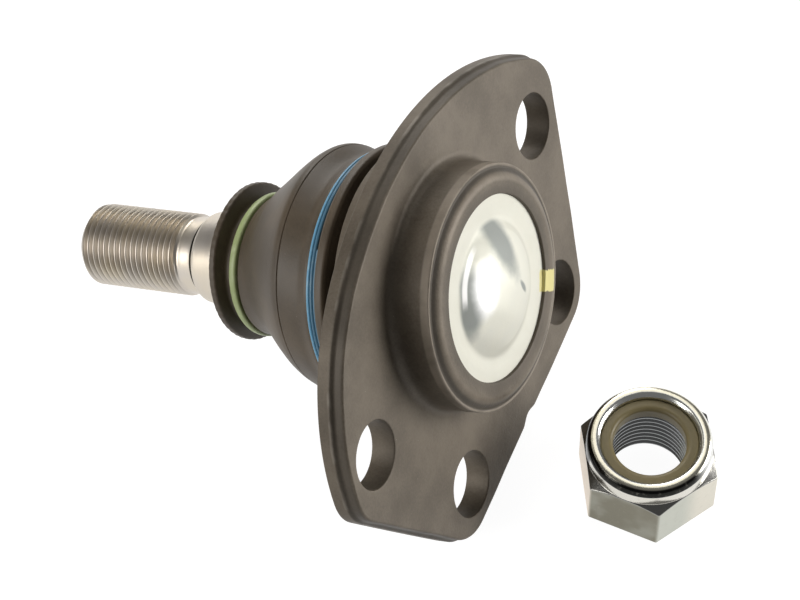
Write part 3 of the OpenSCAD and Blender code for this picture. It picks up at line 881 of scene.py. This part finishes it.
def build_cap(s):
    """Turned sheet: a flat rim, a soft foot and a dome z = h + sqrt(R^2 - r^2) - R, hollow underneath."""
    foot, rise, under, top = s["dome_r"], s["dome_h"], 19.05, 21.15
    foot_cut, foot_drop = 1.1, 0.12
    hollow_r, hollow_edge, hollow_h = 12.6, 19.6, 1.76
    sphere = (foot**2 + rise**2) / (2 * rise)
    r = np.linspace(0, foot - foot_cut, 40)
    dome = np.stack([r, top + rise - sphere + np.sqrt(sphere**2 - r**2)], -1)
    end = dome[-1]
    slope = -r[-1] / math.sqrt(sphere**2 - r[-1] ** 2)
    corner = (end[0] + (top - foot_drop - end[1]) / slope, top - foot_drop)
    foot_curve = rounded([
        (*end, 0), (*corner, foot_cut), (corner[0] + 1.7, top - 0.05, 0.6), (corner[0] + 2.6, top, 0.4),
        (s["cap_r"], top, 0.15), (s["cap_r"], under, 0.15), (13.4, under, 0.2),
        (hollow_r, hollow_edge, 0)], steps=8)
    inner = np.linspace(hollow_r, 0, 24)
    hollow = np.stack([inner, hollow_edge + hollow_h * (1 - (inner / hollow_r) ** 2)], -1)
    grid = turned(np.concatenate([dome, foot_curve[1:-1], hollow]), around(COLUMNS))
    x, y = grid[..., 0], grid[..., 1]
    face = (grid[..., 2] > top - 0.5) * np.clip((19.0 - np.hypot(x, y)) / 3, 0, 1)
    uneven = 0.05 * np.sin(x * 0.42 + 0.8) * np.cos(y * 0.37) + 0.03 * np.sin(0.9 * y - 0.5 * x)
    grid[..., 2] += face * uneven
    return one_grid("pressed_cap", BODY, grid)


# Stud

def build_stud(s):
    """Ball, neck, land, cone and relief as one turned section, then a thread grid with a chamfered tip."""
    r, pitch, start, reach, ball = s["thread_r"], s["pitch"], s["thread_start"], s["reach"], s["ball_r"]
    relief_r, tip_r, run_out, start_slope, tip_slope = 8.45, 7.0, 1.1, 0.9, 1.05
    a = np.linspace(math.radians(70.4), -math.radians(58.9), 60)
    sphere = ball * direction(a)
    shank = rounded([
        (*sphere[-1], 0), (8.0, -14.6, 0.6), (8.0, -26.6, 1.5), (8.9, -29.4, 1.5), (10.5, -31.6, 0.5),
        (10.6, -39.9, 0.8), (9.93, -49.0, 0.3), (9.7, -49.5, 0.2), (8.55, -50.1, 0.35),
        (relief_r, -51.3, 0.4), (8.5, -53.4, 0.4), (relief_r, -start, 0)], steps=5)
    top = np.array([[0.0, sphere[0][1]]])
    angles = around(160)
    surface = Surface()
    surface.add_grid(turned(np.concatenate([top, sphere, shank[1:]]), angles))

    def radius_of(level, share):
        distance = -level
        cut = thread_shape(share, pitch) * np.clip((distance - start) / run_out, 0, 1)
        start_r, end_r = relief_r + (distance - start) * start_slope, tip_r + (reach - distance) * tip_slope
        return np.minimum(r - cut, np.minimum(start_r, end_r))

    surface.add(*thread_grid(-reach, -start, pitch, angles, radius_of))
    tip = rounded([(tip_r, -reach, 0), (5.0, -reach, 0.3), (0, -reach, 0)], steps=3)
    surface.add_grid(turned(tip, angles))
    return surface.make("ball_stud_turned", STUD, crease=50)


# Boot and rings

def leaned(grid):
    """Pushes the boot's slope sideways, as its folds hold it, and turns each point about the ball
    centre's x axis by its level's share of the stud's lean: y cos b - z sin b and y sin b + z cos b."""
    push_x, push_y = -1.2, 1.1
    level = -grid[..., 2]
    # The lean is taken up from the wire's groove to the shoulder, and the push lasts from there to the ring.
    b = LEAN * smooth_step(level, 8.0, 16.9)
    pushed = smooth_step(level, 10, 17) * (1 - smooth_step(level, 27, 33.5))
    x, y, z = grid[..., 0] + push_x * pushed, grid[..., 1] + push_y * pushed, grid[..., 2]
    return np.stack([x, y * np.cos(b) - z * np.sin(b), y * np.sin(b) + z * np.cos(b)], -1)


def levels(corners):
    """(level below the ball centre, radius, cut) rows as (radius, height, cut)."""
    return [(r, -level, cut) for level, r, cut in corners]


# Radii of the boot's wall at its fold line, the outer one as a step back from the belly.
FOLD_IN = 0.28
FOLD_INNER_R = 23.8


def build_boot_belly(s):
    """Wide half of the boot: bead, wire groove and belly up to the fold line, closed over its inside."""
    fold, belly = s["fold_level"], s["belly_r"]
    bead_r, groove_r, inner_r = 28.4, 26.05, 24.05
    profile = rounded(levels([
        (2.3, 27.6, 0.25), (2.75, bead_r, 0.6), (4.6, bead_r, 0.7), (5.3, groove_r, 0.35),
        (7.9, groove_r, 0.25), (8.5, 26.1, 0.3), (10.2, belly - 0.5, 0.8), (12.6, belly - 0.25, 1.0),
        (14.2, belly - 0.12, 0.6), (fold - 0.18, belly - 0.08, 0.1), (fold, belly - FOLD_IN, 0),
        (fold, FOLD_INNER_R, 0), (12.0, 25.05, 1.0), (8.3, 25.1, 0.2), (8.1, inner_r, 0.2),
        (2.3, inner_r, 0.2)]), steps=7, closed=True)
    grid = leaned(turned(profile, around(COLUMNS)))
    return one_grid("boot_belly", BODY, grid, crease=55, wrap_rows=True)


def build_boot_neck(s):
    """Narrow half of the boot: fold line, shoulder, ring groove and a scalloped lip, closed over its
    inside. The lip is cut back between its scallops and flares on one side. The shoulder swells by
    sin(3a), so it is a little three-sided."""
    fold, belly, lip, reach = s["fold_level"], s["belly_r"], s["lip_r"], s["reach"]
    groove_r, throat_r, mouth_r = 14.1, 13.6, 10.65
    scallop_depth, flare_out, flare_turn, swell = 0.13, 0.85, math.radians(163), 0.08
    profile = rounded(levels([
        (fold, belly - FOLD_IN, 0), (fold + 0.18, belly - 0.11, 0.1), (16.3, 25.8, 0.9),
        (18.3, 24.7, 1.1), (21.1, 22.65, 1.2), (24.0, 20.35, 1.3), (27.0, 18.05, 1.3), (29.7, 16.3, 1.2),
        (31.4, 15.5, 0.8), (33.0, 15.05, 0.35), (33.2, groove_r, 0.15), (35.2, groove_r, 0.2),
        (35.45, 13.55, 0.3), (37.0, throat_r, 0.6), (37.7, lip - 0.25, 0.35), (38.0, lip, 0.2),
        (reach - 0.35, lip, 0.25), (reach, lip - 0.45, 0.3), (reach, mouth_r, 0.25),
        (34.2, mouth_r, 0.4), (32.2, 12.5, 0.8), (29.6, 14.0, 0.8), (24.0, 18.0, 1.0), (18.2, 22.3, 1.0),
        (16.3, 23.4, 0.6), (fold, FOLD_INNER_R, 0)]), steps=6, closed=True)
    angles = around(COLUMNS)
    grid = turned(profile, angles)
    radius, level = np.hypot(grid[..., 0], grid[..., 1]), -grid[..., 2]
    rim = np.clip((radius - (lip - 0.6)) / 0.6, 0, 1) * (level > reach - 2.2)
    waves = np.abs(np.sin(angles * s["scallops"] / 2)) ** 0.6 + 0.25 * np.sin(angles * 7 + 1)
    flare = np.clip((radius - throat_r) / (lip - throat_r), 0, 1) * (level > 36.3)
    flare *= np.clip(np.cos(angles - flare_turn), 0, 1) ** 2
    shoulder = np.clip(1 - np.abs(level - 22) / 7, 0, 1) * (radius > 17) * np.sin(3 * angles + 0.6)
    for out in (-scallop_depth * rim * (1 - waves), flare_out * flare, swell * shoulder):
        grid[..., :2] *= (1 + out / radius)[..., None]
    return one_grid("boot_neck", BODY, leaned(grid), crease=55, wrap_rows=True)


def tube(path, out, side, radius):
    """Round tube: path + radius (cos b out + sin b side), with its ends drawn in over a quarter circle."""
    b = around(16)[None, :, None]
    body = path[:, None] + radius * (np.cos(b) * out[:, None] + np.sin(b) * side[:, None])
    caps = []
    for end, step, rows in ((0, 1, (90, 60, 30)), (-1, -1, (30, 60, 90))):
        way = path[end] - path[end + step]
        q = np.radians(rows)[:, None, None]
        centre = path[end] + radius * np.sin(q) * way / np.linalg.norm(way)
        caps.append(centre + radius * np.cos(q) * (np.cos(b) * out[end] + np.sin(b) * side[end]))
    return np.concatenate([caps[0], body, caps[1]])


def build_wire(s):
    """One wire wound two turns and a third: (r cos a, r sin a, level) with the level falling by the
    winding's pitch in each turn. Its free end lifts a little."""
    wire = s["wire_r"]
    groove_r, winding_pitch = 26.16, 0.8
    first, sweep = math.radians(207), math.radians(828)
    t = np.linspace(0, 1, 740)
    lift = np.clip(1 - t / 0.007, 0, 1) ** 2
    r = groove_r + wire + 0.45 * lift
    level = WIRE_LEVEL - winding_pitch * sweep * t / (2 * math.pi) + 0.3 * lift
    out = np.column_stack([direction(first + sweep * t), 0 * t])
    side = np.repeat(np.array([[0.0, 0.0, 1.0]]), len(t), 0)
    path = r[:, None] * out + level[:, None] * side
    return one_grid("boot_wire", BODY, tube(path, out, side, wire), crease=60)


def build_stud_ring():
    """Narrow ring of rounded section in the boot's groove."""
    inner, outer, low, high = 14.15, 15.5, -35.05, -33.4
    corners = [(inner, low, 0.2), (outer, low, 0.62), (outer, high, 0.62), (inner, high, 0.2)]
    profile = rounded(corners, steps=7, closed=True)
    return one_grid("stud_clamp_ring", STUD, turned(profile, around(COLUMNS)), crease=60, wrap_rows=True)


# Nut

def hexagon(flats, rounding=0.55, per_side=18, per_corner=6):
    """Angles and radii around a hexagon: six sides, and at each corner an arc of radius rounding."""
    centre_r = flats / math.sqrt(3) - rounding * (2 / math.sqrt(3) - 1) - rounding
    share = (1 - np.cos(np.linspace(0, math.pi, per_side + 2)))[1:-1, None] / 2
    sweep = np.radians(np.linspace(-30, 30, per_corner))
    points = []
    for a in np.radians(60 * np.arange(6)):
        b = a + math.radians(60)
        arc = centre_r * direction(a) + rounding * direction(a + sweep)
        after = centre_r * direction(b) + rounding * direction(b - math.radians(30))
        points += [arc, arc[-1] + share * (after - arc[-1])]
    p = np.concatenate(points)
    angle = np.arctan2(p[:, 1], p[:, 0]) % (2 * math.pi)
    order = np.argsort(angle)
    return angle[order], np.hypot(p[:, 0], p[:, 1])[order]


def build_nut(s):
    """Hexagon whose corners are cut by a cone, a rolled collar over the nylon seat, and a threaded bore.
    Each column's section is (radius, height), with the hexagon's own radius where the flats are."""
    flats, high, pitch, collar_r = s["flats"], s["height"], s["pitch"], s["collar_r"]
    angle, hexa = hexagon(flats)
    seat_h, minor_r = mount_size("nut_thread", "length_mm"), mount_size("nut_thread", "r_mm")
    seat_r, mouth_r, thread_end_r, ridge, run_out, chamfer = 10.3, 9.7, 9.5, 0.81, 0.5, 1.6

    def ring(r, h):
        return np.stack([r * np.ones_like(hexa), h * np.ones_like(hexa)], -1)

    def cone(r):
        return s["corner_h"] + (flats / math.sqrt(3) - r) * CONE_SLOPE

    corners = [
        ring(mouth_r, 0.0), ring(hexa, 0.0), ring(hexa, cone(hexa)), ring(collar_r, cone(collar_r)),
        ring(13.4, 14.6), ring(13.3, 16.0), ring(13.0, 16.9), ring(12.45, 17.45), ring(11.7, high),
        ring(11.0, high - 0.1), ring(10.35, high - 0.75), ring(seat_r, high - 1.3), ring(seat_r, seat_h),
        ring(thread_end_r, seat_h)]
    cuts = [0, 0.3, 0.18, 0.12, 0.4, 0.5, 0.45, 0.35, 0.3, 0.3, 0.3, 0.2, 0, 0]
    surface = Surface()
    surface.add_grid(turned(soften(np.stack(corners), cuts, steps=5), angle))

    def radius_of(level, share):
        fade = np.clip(level / run_out, 0, 1) * np.clip((seat_h - level) / run_out, 0, 1)
        cut = minor_r + (ridge - thread_shape(share, pitch, crest_flat=0.2, depth_share=0.54)) * fade
        flare = np.maximum(mouth_r - level * chamfer, thread_end_r - (seat_h - level) * chamfer)
        return np.maximum(cut, flare)

    surface.add(*thread_grid(0.0, seat_h, pitch, angle, radius_of))
    place = Placement(NUT_AT, (0, 0, 1), (math.cos(s["turn"]), math.sin(s["turn"]), 0))
    return surface.make("lock_nut_body", place, crease=50), place


def build_nylon(place):
    """Tan ring with a rounded mouth in the nut's collar."""
    inner, outer, low = 7.75, 10.25, 13.16
    profile = rounded([
        (inner, low, 0.1), (outer, low, 0.1), (outer, 16.1, 0.3), (8.4, 16.25, 0.5),
        (inner, 15.7, 0.4)], steps=6, closed=True)
    return one_grid("nylon_ring", place, turned(profile, around(144)), crease=60, wrap_rows=True)


# Stage

# The camera's place from the ball centre in millimetres, its ways and its lens, fitted to the holes,
# the rim, the cap and the stud.
CAMERA_FROM_BALL = (133.086, -304.632, 510.738)
CAMERA_WAY = (-0.218782, 0.493662, -0.841684)
CAMERA_UP = (-0.312209, 0.781821, 0.539705)
CAMERA_LENS = 131.948

# Each lamp's place and aim from the ball centre, in millimetres, and its colour.
LAMP_SIZE = 450
LAMPS = {
    "key": ((650, 300, 90), (0, 0, 0), (1.0, 0.985, 0.96)),
    "near": ((-450, -480, 320), (0, 0, 0), (1.0, 0.97, 0.93)),
    "far": ((-350, 600, 320), (0, 0, 0), (1.0, 0.97, 0.93)),
    "top": ((-110, 370, 600), (40, 0, 0), (1.0, 0.98, 0.93)),
}

# The floor's half width and level in millimetres, its glow, and the share of it that camera and mirrors see.
FLOOR_HALF, FLOOR_LEVEL = 3000, -0.1
FLOOR_GLOW, FLOOR_SHOWN = 1.9, 0.5

# The sky's strength as light, and what the camera and mirrors see on top of it.
SKY_LIGHT, SKY_SEEN, SKY_MIRRORED = 0.06, 0.94, 0.1


def add_floor(grey):
    """A large floor that sends back grey of the light and looks white to the camera and in mirrors."""
    mesh = bpy.data.meshes.new("floor")
    signs = ((-1, -1), (1, -1), (1, 1), (-1, 1))
    corners = [(x * FLOOR_HALF * MM, y * FLOOR_HALF * MM, FLOOR_LEVEL * MM) for x, y in signs]
    mesh.from_pydata(corners, [], [(0, 1, 2, 3)])
    floor = bpy.data.objects.new("floor", mesh)
    bpy.context.collection.objects.link(floor)
    f = Finish("white_floor", Base_Color=(grey, grey, grey, 1), Roughness=0.9)
    glow = f.node("ShaderNodeEmission", {}, Color=(1, 1, 1, 1), Strength=FLOOR_GLOW)
    share = f.ray("Is Camera Ray") * FLOOR_SHOWN + f.ray("Is Glossy Ray") * FLOOR_SHOWN
    both = f.node("ShaderNodeMixShader", {}, share, Value(f, f.shader.outputs[0]), glow)
    f.tree.links.new(both.socket, first_node(f.tree, "OUTPUT_MATERIAL").inputs["Surface"])
    floor.data.materials.append(f.material)


def light_sky(scene):
    """A dim white world that looks white to the camera and through clear pieces, and greyer in mirrors."""
    world = scene.world or bpy.data.worlds.new("world")
    scene.world = world
    world.use_nodes = True
    background = first_node(world.node_tree, "BACKGROUND")
    background.inputs["Color"].default_value = (1, 1, 1, 1)
    sky = Sky(world)
    seen = sky.ray("Is Camera Ray").most(sky.ray("Is Transmission Ray"))
    strength = seen * SKY_SEEN + sky.ray("Is Glossy Ray") * SKY_MIRRORED + SKY_LIGHT
    world.node_tree.links.new(strength.socket, background.inputs["Strength"])


def add_lamp(name, power, position, aim, tint):
    """A square soft lamp at a position in millimetres from the ball, facing aim."""
    light = bpy.data.lights.new(name, "AREA")
    light.energy, light.size, light.color = power, LAMP_SIZE * MM, tint
    lamp = bpy.data.objects.new(name, light)
    bpy.context.collection.objects.link(lamp)
    lamp.location = Vector(BALL) + Vector(position) * MM
    way = (Vector(BALL) + Vector(aim) * MM) - lamp.location
    lamp.rotation_euler = way.to_track_quat("-Z", "Y").to_euler()


def add_camera(scene):
    """The camera, whose axes are right = way x up, up and -way."""
    data = bpy.data.cameras.new("camera")
    data.lens, data.sensor_width = CAMERA_LENS, 36.0
    data.clip_start, data.clip_end = 0.01, 20.0
    camera = bpy.data.objects.new("camera", data)
    bpy.context.collection.objects.link(camera)
    way, up = Vector(CAMERA_WAY), Vector(CAMERA_UP)
    turn = Matrix((way.cross(up), up, -way)).transposed().to_4x4()
    turn.translation = Vector(BALL) + Vector(CAMERA_FROM_BALL) * MM
    camera.matrix_world = turn
    scene.camera = camera


# Operators

class BALLJOINT_OT_stage(bpy.types.Operator):
    """Set up the white floor, the soft lamps and the camera"""
    bl_idname = "balljoint.stage"
    bl_label = "Stage"

    def execute(self, context):
        group = context.scene.ball_joint_stage
        context.scene.view_settings.view_transform = "Standard"
        add_floor(group.floor_grey)
        light_sky(context.scene)
        for name, (position, aim, tint) in LAMPS.items():
            add_lamp(name, getattr(group, name + "_power"), position, aim, tint)
        add_camera(context.scene)
        return {"FINISHED"}


class BALLJOINT_OT_housing(bpy.types.Operator):
    """Build the forged housing with its flange, barrel, rim, collar and boot seat"""
    bl_idname = "balljoint.housing"
    bl_label = "Housing"

    def execute(self, context):
        s = sizes_of(context.scene.ball_joint_housing)
        piece = build_housing(s)
        dress(piece, phosphate_finish(s, tuple(context.scene.ball_joint_cap.paint)))
        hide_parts("housing")
        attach(piece, "housing")
        return {"FINISHED"}


class BALLJOINT_OT_cap(bpy.types.Operator):
    """Build the pressed cap"""
    bl_idname = "balljoint.cap"
    bl_label = "Cap"

    def execute(self, context):
        s = sizes_of(context.scene.ball_joint_cap)
        piece = build_cap(s)
        dress(piece, cap_finish(s))
        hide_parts("closing_cap")
        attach(piece, "housing")
        return {"FINISHED"}


class BALLJOINT_OT_bearing(bpy.types.Operator):
    """Finish the shells and the disc spring inside the housing"""
    bl_idname = "balljoint.bearing"
    bl_label = "Bearing"

    def execute(self, context):
        shell = plain_finish("greased_shell", (0.8, 0.78, 0.7), 0.35)
        for name in ("upper_bearing_shell", "lower_bearing_shell"):
            dress(frame["nodes"][name], shell)
        steel = plain_finish("oiled_spring_steel", (0.32, 0.32, 0.33), 0.3, 1.0)
        dress(frame["nodes"]["preload_spring"], steel)
        return {"FINISHED"}


class BALLJOINT_OT_stud(bpy.types.Operator):
    """Build the ball stud with its thread"""
    bl_idname = "balljoint.stud"
    bl_label = "Ball Stud"

    def execute(self, context):
        s = sizes_of(context.scene.ball_joint_stud)
        piece = build_stud(s)
        dress(piece, machined_finish(s))
        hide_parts("ball_stud")
        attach(piece, "stud")
        return {"FINISHED"}


class BALLJOINT_OT_boot(bpy.types.Operator):
    """Build the rubber boot in two halves that meet at its fold line"""
    bl_idname = "balljoint.boot"
    bl_label = "Boot"

    def execute(self, context):
        s = sizes_of(context.scene.ball_joint_boot)
        rubber = rubber_finish(s)
        belly = build_boot_belly(s)
        neck = build_boot_neck(s)
        for piece in (belly, neck):
            dress(piece, rubber)
            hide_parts("dust_boot")
        groove, fold, mouth = -8.5, -s["fold_level"], -29.0
        belly_from, belly_to, neck_from, neck_to = [
            tuple(BODY.at((0, 0, level))) for level in (groove, fold + 0.3, fold - 0.5, mouth)]
        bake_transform(belly)
        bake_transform(neck)
        return {"FINISHED"}


class BALLJOINT_OT_rings(bpy.types.Operator):
    """Build the blue wire and the green ring that hold the boot"""
    bl_idname = "balljoint.rings"
    bl_label = "Boot Rings"

    def execute(self, context):
        s = sizes_of(context.scene.ball_joint_boot)
        wire = build_wire(s)
        dress(wire, coated_finish("blue_coat", s["wire_blue"], (0.33, 0.56, 0.70), 0.3))
        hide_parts("boot_wire_ring")
        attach(wire, "housing")
        ring = build_stud_ring()
        dress(ring, coated_finish("green_coat", s["ring_green"], (0.55, 0.62, 0.38), 0.34))
        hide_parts("stud_ring")
        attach(ring, "boot_end")
        return {"FINISHED"}


class BALLJOINT_OT_nut(bpy.types.Operator):
    """Build the lock nut and its nylon ring"""
    bl_idname = "balljoint.nut"
    bl_label = "Lock Nut"

    def execute(self, context):
        s = sizes_of(context.scene.ball_joint_nut)
        piece, place = build_nut(s)
        dress(piece, nut_finish(s))
        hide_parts("lock_nut")
        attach(piece, "nut")
        ring = build_nylon(place)
        dress(ring, plain_finish("tan_nylon", s["nylon"], 0.38))
        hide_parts("nylon_insert")
        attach(ring, "nut")
        return {"FINISHED"}


class BALLJOINT_PT_panel(bpy.types.Panel):
    """Lists the builders of the ball joint's pieces"""
    bl_idname = "BALLJOINT_PT_panel"
    bl_label = "Ball Joint"
    bl_space_type = "VIEW_3D"
    bl_region_type = "UI"
    bl_category = "Ball Joint"

    def draw(self, context):
        for operator in OPERATORS:
            self.layout.operator(operator.bl_idname)


SETTINGS = {
    "ball_joint_housing": HousingSettings, "ball_joint_cap": CapSettings, "ball_joint_stud": StudSettings,
    "ball_joint_boot": BootSettings, "ball_joint_nut": NutSettings, "ball_joint_stage": StageSettings,
}
OPERATORS = (
    BALLJOINT_OT_stage, BALLJOINT_OT_housing, BALLJOINT_OT_cap, BALLJOINT_OT_bearing, BALLJOINT_OT_stud,
    BALLJOINT_OT_boot, BALLJOINT_OT_rings, BALLJOINT_OT_nut,
)


def register():
    for cls in (*SETTINGS.values(), *OPERATORS, BALLJOINT_PT_panel):
        bpy.utils.register_class(cls)
    for name, cls in SETTINGS.items():
        setattr(bpy.types.Scene, name, PointerProperty(type=cls))


def unregister():
    for name in SETTINGS:
        delattr(bpy.types.Scene, name)
    for cls in reversed((*SETTINGS.values(), *OPERATORS, BALLJOINT_PT_panel)):
        bpy.utils.unregister_class(cls)


def main():
    register()
    for operator in OPERATORS:
        group, name = operator.bl_idname.split(".")
        getattr(getattr(bpy.ops, group), name)()


if __name__ == "__main__":
    main()
